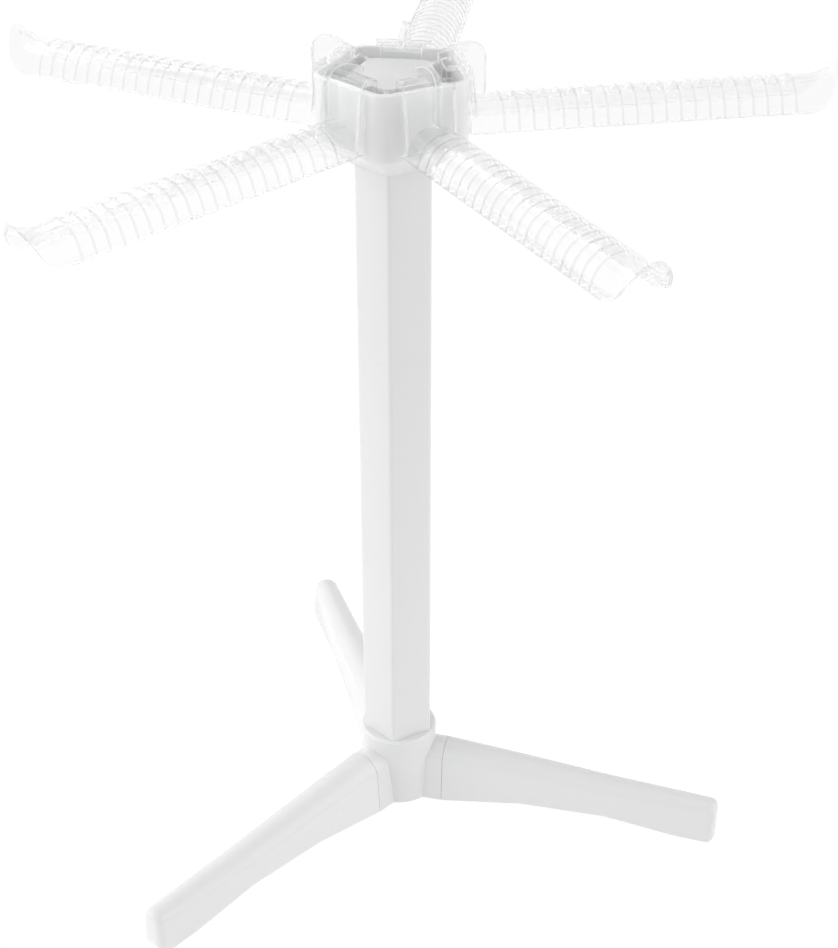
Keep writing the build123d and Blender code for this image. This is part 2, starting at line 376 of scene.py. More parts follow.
class NodeBoard:
    """A small helper that adds nodes and links to a node tree."""

    def __init__(self, tree: bpy.types.NodeTree) -> None:
        """Start from an empty tree.

        Args:
            tree: The tree to fill.
        """
        self.tree = tree
        tree.nodes.clear()

    def feed(self, target: bpy.types.NodeSocket, given: object) -> None:
        """Join an output to an input, or write a value on the input.

        Args:
            target: The input.
            given: The output or the value.
        """
        if isinstance(given, bpy.types.NodeSocket):
            self.tree.links.new(given, target)
        else:
            target.default_value = given

    def add(self, kind: str, *inputs: object, **settings: object) -> bpy.types.Node:
        """Add a node, set its properties and feed its inputs.

        Args:
            kind: The node's type name.
            inputs: What its first inputs get, in their order.
            settings: Its properties, and what further inputs get, with underscores for spaces.

        Returns:
            The new node.
        """
        node = self.tree.nodes.new(kind)
        for name, given in settings.items():
            if hasattr(node, name):
                setattr(node, name, given)
        for target, given in zip(node.inputs, inputs):
            self.feed(target, given)
        for name, given in settings.items():
            if not hasattr(node, name):
                self.feed(node.inputs[name.replace("_", " ")], given)
        return node

    def blend(self, share: bpy.types.NodeSocket, first: object, second: object) -> bpy.types.NodeSocket:
        """Mix two colours.

        Args:
            share: An output that says how much of the second there is.
            first: The first colour, or an output that gives it.
            second: The second colour, or an output that gives it.

        Returns:
            The output with the mixed colour.
        """
        mix = self.add("ShaderNodeMix", share, data_type="RGBA")
        colours = [socket for socket in mix.inputs if socket.type == "RGBA"]
        for target, given in zip(colours, (first, second)):
            self.feed(target, given)
        return next(socket for socket in mix.outputs if socket.type == "RGBA")


@dataclass(frozen=True)
class MouldedGrain:
    """A shader node group with the fine texture that a moulded plastic surface has."""

    name: str = "moulded_grain"
    mottle_scale: float = 14.0
    scuff_start: float = 0.58
    scuff_end: float = 0.82

    def group(self) -> bpy.types.NodeTree:
        """Build the group once and return it.

        Returns:
            The node group, with two scales going in, and height, mottle and scuff coming out.
        """
        if self.name in bpy.data.node_groups:
            return bpy.data.node_groups[self.name]
        tree = bpy.data.node_groups.new(self.name, "ShaderNodeTree")
        for label in ("Scale", "Scuff Scale"):
            tree.interface.new_socket(label, in_out="INPUT", socket_type="NodeSocketFloat")
        for mask in Mask:
            tree.interface.new_socket(mask.value, in_out="OUTPUT", socket_type="NodeSocketFloat")
        board = NodeBoard(tree)
        given = board.add("NodeGroupInput").outputs
        place = board.add("ShaderNodeTexCoord").outputs["Object"]
        noise = "ShaderNodeTexNoise"
        grain = board.add(noise, place, Scale=given["Scale"], Detail=4.0, Roughness=0.6)
        mottle = board.add(noise, place, Scale=self.mottle_scale, Detail=3.0, Roughness=0.5)
        scuff = board.add(
            noise, place, Scale=given["Scuff Scale"], Detail=6.0, Roughness=0.7, Distortion=0.6
        )
        limit = board.add(
            "ShaderNodeMapRange",
            scuff.outputs["Fac"],
            From_Min=self.scuff_start,
            From_Max=self.scuff_end,
        )
        board.add(
            "NodeGroupOutput",
            Height=grain.outputs["Fac"],
            Mottle=mottle.outputs["Fac"],
            Scuff=limit.outputs["Result"],
        )
        return tree


@dataclass(frozen=True)
class ClearRim:
    """A shader node group for clear plastic: a faint body face on, and a denser one edge on. Over the
    crest the opacity drops to a share, which is painted light that lightens the crest as light from above
    would.
    """

    name: str = "clear_rim"
    rim_start: float = 0.35
    rim_end: float = 0.95
    # The heights between which the painted light on the crest sets in.
    fade_bottom: float = 409.0 * MM
    fade_top: float = 417.0 * MM

    def group(self) -> bpy.types.NodeTree:
        """Build the group once and return it.

        Returns:
            The node group, with the side seen, colours, opacities and shares going in, and tint and
            opacity coming out.
        """
        if self.name in bpy.data.node_groups:
            return bpy.data.node_groups[self.name]
        tree = bpy.data.node_groups.new(self.name, "ShaderNodeTree")
        for label in ("Facing", "Backfacing", "Face Opacity", "Rim Opacity", "Crest Share", "Back Share"):
            tree.interface.new_socket(label, in_out="INPUT", socket_type="NodeSocketFloat")
        for label in ("Face Color", "Rim Color"):
            tree.interface.new_socket(label, in_out="INPUT", socket_type="NodeSocketColor")
        tree.interface.new_socket("Tint", in_out="OUTPUT", socket_type="NodeSocketColor")
        tree.interface.new_socket("Opacity", in_out="OUTPUT", socket_type="NodeSocketFloat")
        board = NodeBoard(tree)
        given = board.add("NodeGroupInput").outputs
        ramp = "ShaderNodeMapRange"
        rim = board.add(
            ramp,
            given["Facing"],
            interpolation_type="SMOOTHSTEP",
            From_Min=self.rim_start,
            From_Max=self.rim_end,
        ).outputs["Result"]
        tint = board.blend(rim, given["Face Color"], given["Rim Color"])
        body = board.add(ramp, rim, To_Min=given["Face Opacity"], To_Max=given["Rim Opacity"])
        place = board.add("ShaderNodeTexCoord").outputs["Object"]
        height = board.add("ShaderNodeSeparateXYZ", place).outputs["Z"]
        # Painted light: above the sides the opacity falls to the crest share, so lines look lit from
        # above on the crest.
        crest_light_fade = board.add(
            ramp,
            height,
            interpolation_type="SMOOTHSTEP",
            From_Min=self.fade_bottom,
            From_Max=self.fade_top,
            To_Min=1.0,
            To_Max=given["Crest Share"],
        )
        back = board.add(ramp, given["Backfacing"], To_Min=1.0, To_Max=given["Back Share"])
        times = "ShaderNodeMath"
        faded = board.add(times, body.outputs["Result"], crest_light_fade.outputs["Result"], operation="MULTIPLY")
        seen = board.add(times, faded.outputs["Value"], back.outputs["Result"], operation="MULTIPLY")
        board.add("NodeGroupOutput", Tint=tint, Opacity=seen.outputs["Value"])
        return tree


@dataclass(frozen=True)
class Finish(ABC):
    """A moulded surface: its gloss, which wear changes a little, its grain and its body."""

    name: str
    refraction: float
    roughness: float
    worn_roughness: float
    grain_scale: float
    grain_strength: float
    grain_depth: float
    scuff_scale: float
    wear: Mask = Mask.SCUFF

    @abstractmethod
    def body(self, board: NodeBoard, grain: bpy.types.Node) -> dict[str, object]:
        """Add the nodes for the colour and for what else makes this finish.

        Args:
            board: The material's node tree.
            grain: The material's moulded grain.

        Returns:
            What the shader's inputs get, by their names with underscores for spaces.
        """

    def material(self) -> bpy.types.Material:
        """Build the material once and return it.

        Returns:
            The material.
        """
        if self.name in bpy.data.materials:
            return bpy.data.materials[self.name]
        made = bpy.data.materials.new(self.name)
        made.use_nodes = True
        board = NodeBoard(made.node_tree)
        grain = board.add(
            "ShaderNodeGroup",
            node_tree=MouldedGrain().group(),
            Scale=self.grain_scale,
            Scuff_Scale=self.scuff_scale,
        )
        gloss = board.add(
            "ShaderNodeMapRange",
            grain.outputs[self.wear.value],
            To_Min=self.roughness,
            To_Max=self.worn_roughness,
        )
        bump = board.add(
            "ShaderNodeBump",
            Strength=self.grain_strength,
            Distance=self.grain_depth,
            Height=grain.outputs[Mask.HEIGHT.value],
        )
        shader = board.add(
            "ShaderNodeBsdfPrincipled",
            IOR=self.refraction,
            Roughness=gloss.outputs["Result"],
            Normal=bump.outputs["Normal"],
            **self.body(board, grain),
        )
        board.add("ShaderNodeOutputMaterial", Surface=shader.outputs["BSDF"])
        return made


@dataclass(frozen=True)
class WhitePlastic(Finish):
    """White moulded plastic: satin, with a hardly visible grain and a few handling scuffs."""

    name: str = "white_moulded_plastic"
    refraction: float = 1.49
    roughness: float = 0.26
    worn_roughness: float = 0.29
    grain_scale: float = 1400.0
    grain_strength: float = 0.25
    grain_depth: float = 0.01 * MM
    scuff_scale: float = 45.0
    colour: Colour = (0.80, 0.80, 0.80)
    shade_colour: Colour = (0.785, 0.787, 0.79)
    translucency: float = 0.7
    scatter_length: float = 5.0 * MM

    def body(self, board: NodeBoard, grain: bpy.types.Node) -> dict[str, object]:
        """Mottle the white, and let light a little way into it.

        Args:
            board: The material's node tree.
            grain: The material's moulded grain.

        Returns:
            What the shader's inputs get.
        """
        mottle = grain.outputs[Mask.MOTTLE.value]
        return {
            "Base_Color": board.blend(mottle, (*self.shade_colour, 1), (*self.colour, 1)),
            "Subsurface_Weight": self.translucency,
            "Subsurface_Radius": (1, 1, 1),
            "Subsurface_Scale": self.scatter_length,
        }


@dataclass(frozen=True)
class ClearPlastic(Finish):
    """Clear moulded plastic, polished, with a trace of flow marks and fine handling haze."""

    name: str = "clear_moulded_plastic"
    refraction: float = 1.2
    roughness: float = 0.06
    worn_roughness: float = 0.12
    grain_scale: float = 120.0
    grain_strength: float = 0.05
    grain_depth: float = 0.02 * MM
    scuff_scale: float = 90.0
    face_colour: Colour = (0.83, 0.835, 0.84)
    rim_colour: Colour = (0.83, 0.835, 0.84)
    face_opacity: float = 0.31
    rim_opacity: float = 0.38
    # Painted light: the share of opacity left on the crest, which lightens the lines there as light from
    # above would.
    crest_share: float = 1.0
    back_share: float = 1.0
    transmission: float = 1.0

    def body(self, board: NodeBoard, grain: bpy.types.Node) -> dict[str, object]:
        """Let light through, with an opacity and a tint that depend on the side seen, and an opacity that
        fades over the crest as painted light.

        Args:
            board: The material's node tree.
            grain: The material's moulded grain, which the body doesn't use.

        Returns:
            What the shader's inputs get.
        """
        rim = board.add(
            "ShaderNodeGroup",
            node_tree=ClearRim().group(),
            Facing=board.add("ShaderNodeLayerWeight", Blend=0.5).outputs["Facing"],
            Backfacing=board.add("ShaderNodeNewGeometry").outputs["Backfacing"],
            Face_Color=(*self.face_colour, 1),
            Rim_Color=(*self.rim_colour, 1),
            Face_Opacity=self.face_opacity,
            Rim_Opacity=self.rim_opacity,
            Crest_Share=self.crest_share,
            Back_Share=self.back_share,
        )
        return {
            "Base_Color": rim.outputs["Tint"],
            "Alpha": rim.outputs["Opacity"],
            "Transmission_Weight": self.transmission,
        }


@dataclass(frozen=True)
class SoftRubber(Finish):
    """The pale soft rubber of the foot pads, matte and a little dusty."""

    name: str = "pale_soft_rubber"
    refraction: float = 1.5
    roughness: float = 0.7
    worn_roughness: float = 0.85
    grain_scale: float = 2200.0
    grain_strength: float = 0.5
    grain_depth: float = 0.08 * MM
    scuff_scale: float = 160.0
    wear: Mask = Mask.MOTTLE
    colour: Colour = (0.62, 0.62, 0.61)
    dusty_colour: Colour = (0.50, 0.50, 0.49)

    def body(self, board: NodeBoard, grain: bpy.types.Node) -> dict[str, object]:
        """Dust the rubber in patches.

        Args:
            board: The material's node tree.
            grain: The material's moulded grain.

        Returns:
            What the shader's inputs get.
        """
        dust = grain.outputs[Mask.SCUFF.value]
        return {"Base_Color": board.blend(dust, (*self.colour, 1), (*self.dusty_colour, 1))}


TRANSLUCENT_WHITE = WhitePlastic()
DENSE_WHITE = WhitePlastic(
    name="white_dense_plastic",
    colour=(0.785, 0.785, 0.785),
    shade_colour=(0.77, 0.772, 0.775),
    translucency=0.15,
    scatter_length=1.0 * MM,
)
CLEAR = ClearPlastic()
# Painted shade: a dark grey coat for the thin lines on the rib flanks, the bottom edge strips and the cut
# end.
RIB_LINE = ClearPlastic(
    name="clear_plastic_rib_line",
    face_colour=(0.55, 0.56, 0.57),
    rim_colour=(0.55, 0.56, 0.57),
    face_opacity=0.28,
    rim_opacity=0.32,
    crest_share=0.75,
    back_share=0.15,
    transmission=0.4,
    roughness=0.25,
    worn_roughness=0.35,
)
# Painted highlight: a near-white, denser coat on the rounded bracket, stiffener and flange edges and on
# the flanges' fronts.
LIT_EDGE = ClearPlastic(
    name="clear_plastic_lit_edge",
    face_colour=(0.97, 0.975, 0.98),
    rim_colour=(0.93, 0.935, 0.94),
    face_opacity=0.7,
    rim_opacity=0.8,
    transmission=0.15,
    roughness=0.2,
    worn_roughness=0.3,
)
PAD_RUBBER = SoftRubber()


def dress(piece: bpy.types.Object, finish: Finish) -> None:
    """Give a piece one finish all over.

    Args:
        piece: The object to dress.
        finish: The finish that it gets.
    """
    piece.data.materials.clear()
    piece.data.materials.append(finish.material())


@dataclass(frozen=True)
class SeamShift:
    """A small move of all that lies in one plane, so that the seam there is as fine as a tight fit."""

    normal: Vector
    place: float
    shift: float


@dataclass
class Moulding:
    """A rigid moulding: the node's own form with the soft edges that a mould gives."""

    node: str
    body: str
    edge_radius: float
    edge_segments: int = 3
    crisp_angle: float = 32
    ridge_width: float = 0.0
    merge_gap: float = TINY / 5
    flat_angle: float = 0.3
    seams: tuple[SeamShift, ...] = ()

    def close_seams(self, piece: bpy.types.Object) -> None:
        """Move what lies in each seam's plane along the plane's normal.

        Args:
            piece: The moulding, in edit mode.
        """
        for seam in self.seams:
            pick_vertices(piece, lambda p: abs(p.dot(seam.normal) - seam.place) < TINY)
            bpy.ops.transform.translate(value=seam.normal * seam.shift)

    def build(self) -> bpy.types.Object:
        """Copy the node's form, merge it, round its edges and put it in the node's place.

        Returns:
            The finished piece.
        """
        activate(frame["nodes"][self.node])
        bpy.ops.object.duplicate()
        piece = bpy.context.object
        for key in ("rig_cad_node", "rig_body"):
            del piece[key]
        piece.parent = None
        piece.name = f"{self.node}_moulding"
        bpy.ops.object.mode_set(mode="EDIT")
        bpy.ops.mesh.select_all(action="SELECT")
        bpy.ops.mesh.remove_doubles(threshold=self.merge_gap)
        bpy.ops.mesh.dissolve_limited(angle_limit=math.radians(self.flat_angle))
        self.close_seams(piece)
        bpy.ops.object.mode_set(mode="OBJECT")
        if self.ridge_width:
            soften_ridges(piece, self.ridge_width)
        if self.edge_radius:
            round_edges(piece, self.edge_radius, self.edge_segments)
        smooth(piece, self.crisp_angle)
        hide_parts(self.node)
        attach(piece, self.body)
        report(piece)
        return piece


@dataclass
class ClearArm:
    """One clear arm along +X: ribbed half-pipe, flared end and a hook for the hub's wall."""

    bottom: float = 403.2 * MM
    half_width: float = 13.5 * MM
    height: float = 14.5 * MM
    wall: float = 2.0 * MM
    root: float = 32.5 * MM
    first_rib: float = 50.4 * MM
    rib_pitch: float = 7.2 * MM
    rib_count: int = 21
    rib_height: float = 0.6 * MM
    rib_foot: float = 1.3 * MM
    rib_crest: float = 0.7 * MM
    bead_height: float = 3.0 * MM
    bead_thickness: float = 0.7 * MM
    bead_slope: float = 0.5 * MM
    flare_start: float = 203.0 * MM
    flare_radius: float = 22.0 * MM
    flare_turn: float = 50
    flare_steps: int = 20
    round_sides: int = 72
    plate_thickness: float = 2.6 * MM
    rim: float = 433.3 * MM
    top_thickness: float = 2.8 * MM
    bend_radius: float = 4.6 * MM
    bend_segments: int = 8
    inner_leg: float = 20.6 * MM
    inner_leg_thickness: float = 2.6 * MM
    inner_leg_bottom: float = 419.0 * MM
    inner_leg_half_width: float = 10.0 * MM
    inner_bend_share: float = 0.98
    inner_bend_segments: int = 6
    pocket_edge: float = 29.1 * MM
    stiffener_thickness: float = 3.0 * MM
    stiffener_reach: float = 8.6 * MM
    stiffener_rise: float = 7.6 * MM
    stiffener_tail_rise: float = 3.4 * MM
    stiffener_tail_start: float = 3.75 * MM
    stiffener_front_bend: float = 7.5 * MM
    stiffener_front_segments: int = 10
    stiffener_tail_bend: float = 3.0 * MM
    stiffener_tail_segments: int = 6
    flange_thickness: float = 1.8 * MM
    flange_reach: float = 3.4 * MM
    flange_top_reach: float = 0.2 * MM
    flange_drop: float = 1.8 * MM
    end_corner_start: float = 201.5 * MM
    end_corner_radius: float = 12.0 * MM
    end_corner_steps: int = 16
    end_lean: float = 68
    bracket_round: float = 0.45 * MM
    bracket_round_segments: int = 3
    rib_round: float = 0.4 * MM
    rib_round_segments: int = 2
    rounded_angle: float = 50
    crisp_angle: float = 40
    # The height of the bottom strip that gets the painted shade line.
    edge_strip: float = 0.45 * MM
    coats: tuple[ClearPlastic, ...] = (CLEAR, RIB_LINE, LIT_EDGE)

    @property
    def bend_top(self) -> float:
        """The height of the bracket's top, over the hub's rim."""
        return self.rim + self.top_thickness

    @property
    def inner_leg_face(self) -> float:
        """How far out the outer face of the leg behind the wall stands."""
        return self.inner_leg + self.inner_leg_thickness

    @property
    def axis_height(self) -> float:
        """The height of the half-pipe's axis."""
        return self.bottom + self.height - self.half_width

    @property
    def crest(self) -> float:
        """The height of the half-pipe's crest."""
        return self.bottom + self.height

    @property
    def plate_face(self) -> float:
        """How far out the bracket's front face stands."""
        return self.root + self.plate_thickness

    def radial(self, place: Vector) -> float:
        """The distance of a place from the half-pipe's axis."""
        return math.hypot(place.y, place.z - self.axis_height)

    def coat(self, piece: bpy.types.Object) -> None:
        """Give a form the three finishes, the clear plastic, the painted shade line and the painted
        highlight, all of it in the clear one.

        Args:
            piece: The object to coat.
        """
        for finish in self.coats:
            piece.data.materials.append(finish.material())

    def coat_faces(
        self, piece: bpy.types.Object, coat: Coat, wanted: Callable[[Vector, Vector], bool]
    ) -> None:
        """Give one of the coats to some faces, and end in edit mode.

        Args:
            piece: The coated object.
            coat: Which finish the faces get.
            wanted: Says whether a face with that centre and normal gets it.
        """
        pick_faces(piece, wanted)
        piece.active_material_index = coat.value
        bpy.ops.object.material_slot_assign()

    def section(self, place: float) -> bpy.types.Object:
        """Make the half-pipe's cross-section, standing across the arm.

        Args:
            place: Where along the arm it stands, in metres.

        Returns:
            The object, in edit mode, with loops where the edge beads end and where the painted shade
            strip along the bottom ends.
        """
        deselect_all()
        bpy.ops.mesh.primitive_circle_add(
            vertices=self.round_sides,
            radius=self.half_width,
            fill_type="NGON",
            location=(place, 0, self.axis_height),
            rotation=(0, math.radians(90), 0),
        )
        section = bpy.context.object
        section.name = "arm_half_pipe"
        self.coat(section)
        settle(section)
        bpy.ops.object.mode_set(mode="EDIT")
        bpy.ops.mesh.select_mode(type="FACE")
        bpy.ops.mesh.select_all(action="SELECT")
        bpy.ops.mesh.inset(thickness=self.wall)
        bpy.ops.mesh.delete(type="FACE")
        bpy.ops.mesh.select_all(action="SELECT")
        axis = (place, 0, self.axis_height)
        bpy.ops.mesh.bisect(plane_co=axis, plane_no=(0, 0, -1), clear_outer=True, threshold=TINY)
        pick_edges(section, lambda a, b: max(a.z, b.z) < self.axis_height + TINY)
        push((0, 0, self.bottom - self.axis_height))
        for rise in (self.edge_strip, self.bead_height, self.bead_height + self.bead_slope):
            bpy.ops.mesh.select_all(action="SELECT")
            level = (place, 0, self.bottom + rise)
            bpy.ops.mesh.bisect(plane_co=level, plane_no=(0, 0, 1), threshold=TINY)
        return section

    def rib_cell(self) -> bpy.types.Object:
        """Model one pitch of the half-pipe, with its rib in the middle, and repeat it.

        Returns:
            The ribbed length, open at both ends.
        """
        start = self.first_rib - self.rib_pitch / 2
        cell = self.section(start)
        flat = (self.rib_pitch - self.rib_foot) / 2
        slope = (self.rib_foot - self.rib_crest) / 2
        bpy.ops.mesh.select_mode(type="FACE")
        bpy.ops.mesh.select_all(action="SELECT")
        for step in (flat, slope, self.rib_crest, slope, flat):
            push((step, 0, 0))
        end = start + self.rib_pitch
        pick_faces(cell, lambda c, n: abs(n.x) > FACING and min(abs(c.x - start), abs(c.x - end)) < TINY)
        bpy.ops.mesh.delete(type="FACE")
        crest_reach = self.rib_crest / 2 + TINY
        bead_top = self.bottom + self.bead_height + self.bead_slope
        pick_vertices(
            cell,
            lambda p: abs(p.x - self.first_rib) < crest_reach
            and self.radial(p) > self.half_width - self.wall / 2
            and p.z > bead_top + TINY,
        )
        growth = 1 + self.rib_height / self.half_width
        bpy.ops.transform.resize(value=(1, growth, growth), center_override=(0, 0, self.axis_height))
        for side in (-1, 1):
            pick_vertices(
                cell,
                lambda p: side * p.y > self.half_width - self.wall / 2
                and p.z < self.bottom + self.bead_height + TINY,
            )
            bpy.ops.transform.translate(value=(0, side * self.bead_thickness, 0))
        flank_reach = (self.rib_foot + self.rib_crest) / 4
        # Painted shade line on the outward flank of each rib.
        self.coat_faces(
            cell,
            Coat.RIB_LINE,
            lambda c, n: abs(abs(c.x - self.first_rib) - flank_reach) < TINY + slope / 4
            and c.y * n.y + (c.z - self.axis_height) * n.z > 0,
        )
        bpy.ops.object.mode_set(mode="OBJECT")
        activate(cell)
        row = cell.modifiers.new("ribs", "ARRAY")
        row.count = self.rib_count
        row.use_relative_offset = False
        row.use_constant_offset = True
        row.constant_offset_displace = (self.rib_pitch, 0, 0)
        row.use_merge_vertices = True
        row.merge_threshold = TINY
        bpy.ops.object.modifier_apply(modifier=row.name)
        return cell

    def half_pipe(self) -> bpy.types.Object:
        """Run the ribbed length on to its root and round its flare, and close both ends.

        Returns:
            The closed half-pipe, before its end is trimmed.
        """
        pipe = self.rib_cell()
        start = self.first_rib - self.rib_pitch / 2
        end = start + self.rib_count * self.rib_pitch
        bpy.ops.object.mode_set(mode="EDIT")
        pick_edges(pipe, lambda a, b: max(a.x, b.x) < start + TINY)
        push((self.root + self.plate_thickness / 2 - start, 0, 0))
        bpy.ops.mesh.edge_face_add()
        pick_edges(pipe, lambda a, b: min(a.x, b.x) > end - TINY)
        push((self.flare_start - end, 0, 0))
        bpy.ops.mesh.spin(
            steps=self.flare_steps,
            angle=math.radians(self.flare_turn),
            center=(self.flare_start, 0, self.crest + self.flare_radius),
            axis=(0, 1, 0),
        )
        bpy.ops.mesh.edge_face_add()
        face_outwards(merge=True)
        # Painted shade line along the bottom strip on both outer sides.
        self.coat_faces(
            pipe,
            Coat.RIB_LINE,
            lambda c, n: c.y * n.y > 0 and abs(n.y) > FACING and c.z < self.bottom + self.edge_strip,
        )
        bpy.ops.object.mode_set(mode="OBJECT")
        return pipe

    def end_cutter(self) -> bpy.types.Object:
        """Make the block that trims the arm's end: round below, then leaning back over the flare.

        Returns:
            The cutter, a closed mesh across the arm.
        """
        deselect_all()
        bpy.ops.curve.primitive_bezier_curve_add()
        cutter = bpy.context.object
        cutter.name = "arm_end_cutter"
        curve = cutter.data
        curve.dimensions = "2D"
        curve.fill_mode = "BOTH"
        curve.extrude = self.half_width * 2
        curve.resolution_u = self.end_corner_steps
        spline = curve.splines[0]
        lean = math.radians(self.end_lean)
        turn_x = self.end_corner_start + self.end_corner_radius * math.sin(lean)
        turn_z = self.bottom + self.end_corner_radius * (1 - math.cos(lean))
        top = self.crest + self.flare_radius
        lean_x = turn_x + (top - turn_z) / math.tan(lean)
        far = self.flare_start + 3 * self.flare_radius
        arc_handle = self.end_corner_radius * 4 / 3 * math.tan(lean / 4)
        below = self.bottom - self.flare_radius
        along = Vector((math.cos(lean), math.sin(lean)))
        places = [
            (Vector((self.end_corner_start, self.bottom)), Vector((0, -TINY)), Vector((arc_handle, 0))),
            (Vector((turn_x, turn_z)), -along * arc_handle, along * TINY),
            (Vector((lean_x, top)), -along * TINY, Vector((TINY, 0))),
            (Vector((far, top)), Vector((-TINY, 0)), Vector((0, -TINY))),
            (Vector((far, below)), Vector((0, TINY)), Vector((-TINY, 0))),
            (Vector((self.end_corner_start, below)), Vector((TINY, 0)), Vector((0, TINY))),
        ]
        spline.bezier_points.add(len(places) - len(spline.bezier_points))
        spline.use_cyclic_u = True
        for point, (place, before, after) in zip(spline.bezier_points, places):
            point.handle_left_type = point.handle_right_type = "FREE"
            point.co = (place.x, place.y, 0)
            point.handle_left = (place.x + before.x, place.y + before.y, 0)
            point.handle_right = (place.x + after.x, place.y + after.y, 0)
        activate(cutter)
        bpy.ops.object.convert(target="MESH")
        cutter.rotation_euler = (math.radians(90), 0, 0)
        settle(cutter)
        bpy.ops.object.mode_set(mode="EDIT")
        face_outwards(merge=True)
        self.coat(cutter)
        # The arm's cut end gets the painted shade line.
        self.coat_faces(cutter, Coat.RIB_LINE, lambda c, n: True)
        bpy.ops.object.mode_set(mode="OBJECT")
        return cutter

    def bracket(self) -> bpy.types.Object:
        """Model the plate in front of the hub's wall, its bend over the rim and the leg behind.

        Returns:
            The closed bracket, with soft edges.
        """
        top = self.bend_top - TINY
        front = self.plate_face - TINY
        back = self.inner_leg + TINY
        low = (self.root, -self.half_width, self.bottom)
        high = (self.plate_face, self.half_width, self.rim)
        piece = new_block("arm_bracket", low, high)
        self.coat(piece)
        pick_faces(piece, lambda c, n: n.z > FACING)
        push((0, 0, self.top_thickness))
        neck = self.inner_leg_half_width / self.half_width
        pick_faces(piece, lambda c, n: n.x < -FACING and c.z > self.rim)
        push((self.pocket_edge - self.root, 0, 0))
        bpy.ops.transform.resize(value=(1, neck, 1), center_override=(0, 0, 0))
        push((self.inner_leg_face - self.pocket_edge, 0, 0))
        push((-self.inner_leg_thickness, 0, 0))
        pick_faces(
            piece, lambda c, n: n.z < -FACING and c.z > self.rim - TINY and c.x < self.inner_leg_face
        )
        push((0, 0, self.inner_leg_bottom - self.rim))
        pick_edges(piece, lambda a, b: min(a.z, b.z) > top and min(a.x, b.x) > front)
        bend(self.bend_radius, self.bend_segments)
        pick_edges(piece, lambda a, b: min(a.z, b.z) > top and max(a.x, b.x) < back)
        bend(self.inner_leg_thickness * self.inner_bend_share, self.inner_bend_segments)
        face_outwards()
        bpy.ops.object.mode_set(mode="OBJECT")
        # The bracket's rounds get the painted highlight.
        round_edges(
            piece, self.bracket_round, self.bracket_round_segments, self.rounded_angle, Coat.LIT_EDGE
        )
        return piece

    def stiffener(self) -> bpy.types.Object:
        """Model the upright rib on the bracket's middle, from the crest over the bend.

        Returns:
            The closed rib, with soft edges.
        """
        top = self.bend_top
        half = self.stiffener_thickness / 2
        inner = self.root + self.plate_thickness / 2
        outer = self.plate_face + self.stiffener_reach
        apex = top + self.stiffener_rise
        foot = self.crest - self.wall / 2
        deep = top - self.top_thickness / 2
        piece = new_block("arm_stiffener", (inner, -half, foot), (outer, half, deep))
        self.coat(piece)
        pick_faces(piece, lambda c, n: n.z > FACING)
        push((0, 0, apex - deep))
        tail = (self.plate_face + self.inner_leg) / 2 + self.stiffener_tail_start
        pick_faces(piece, lambda c, n: n.x < -FACING and c.z > deep)
        push((tail - inner, 0, 0))
        push((self.inner_leg - tail, 0, 0))
        pick_vertices(piece, lambda p: p.x < self.inner_leg + TINY and p.z > apex - TINY)
        bpy.ops.transform.translate(value=(0, 0, top + self.stiffener_tail_rise - apex))
        pick_edges(piece, lambda a, b: min(a.z, b.z) > apex - TINY and min(a.x, b.x) > outer - TINY)
        bend(self.stiffener_front_bend, self.stiffener_front_segments)
        pick_edges(
            piece,
            lambda a, b: min(a.z, b.z) > apex - TINY
            and max(abs(a.x - tail), abs(b.x - tail)) < TINY
            and abs(a.y - b.y) > half,
        )
        bend(self.stiffener_tail_bend, self.stiffener_tail_segments)
        face_outwards()
        bpy.ops.object.mode_set(mode="OBJECT")
        # The stiffener's rounds get the painted highlight.
        round_edges(piece, self.rib_round, self.rib_round_segments, self.rounded_angle, Coat.LIT_EDGE)
        return piece

    def flange(self, side: int) -> bpy.types.Object:
        """Model the narrow flange down one side edge of the bracket, deepest at the arm.

        Args:
            side: 1 for the +Y edge and -1 for the other.

        Returns:
            The closed flange, with soft edges.
        """
        low_z = self.bottom + TINY
        high_z = self.rim - self.flange_drop
        edge = side * self.half_width
        inside = side * (self.half_width - self.flange_thickness)
        low = (self.root + self.plate_thickness / 2, min(edge, inside), low_z)
        high = (self.plate_face + self.flange_reach, max(edge, inside), high_z)
        piece = new_block("arm_flange", low, high)
        self.coat(piece)
        pick_vertices(piece, lambda p: p.z > high_z - TINY and p.x > self.plate_face)
        bpy.ops.transform.translate(value=(self.flange_top_reach - self.flange_reach, 0, 0))
        # The flange's front and its rounds get the painted highlight.
        self.coat_faces(piece, Coat.LIT_EDGE, lambda c, n: n.x > FACING)
        bpy.ops.object.mode_set(mode="OBJECT")
        round_edges(piece, self.rib_round, self.rib_round_segments, self.rounded_angle, Coat.LIT_EDGE)
        return piece

    def model(self) -> bpy.types.Object:
        """Join the arm's forms into one closed piece along +X.

        Returns:
            The arm, smooth-shaded.
        """
        arm = self.half_pipe()
        combine(arm, self.end_cutter(), "DIFFERENCE")
        combine(arm, self.bracket(), "UNION")
        combine(arm, self.stiffener(), "UNION")
        for side in (-1, 1):
            combine(arm, self.flange(side), "UNION")
        smooth(arm, self.crisp_angle)
        return arm

    def build(self) -> list[bpy.types.Object]:
        """Copy the modelled arm to each place on the hub and dress it.

        Returns:
            The five arms.
        """
        pattern = self.model()
        arms = []
        for place in Arm:
            activate(pattern)
            bpy.ops.object.duplicate()
            arm = bpy.context.object
            arm.name = f"{place.node}_clear"
            arm.rotation_euler = (0, 0, math.radians(place.value))
            settle(arm)
            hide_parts(place.node)
            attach(arm, place.node)
            report(arm)
            arms.append(arm)
        bpy.data.objects.remove(pattern)
        return arms


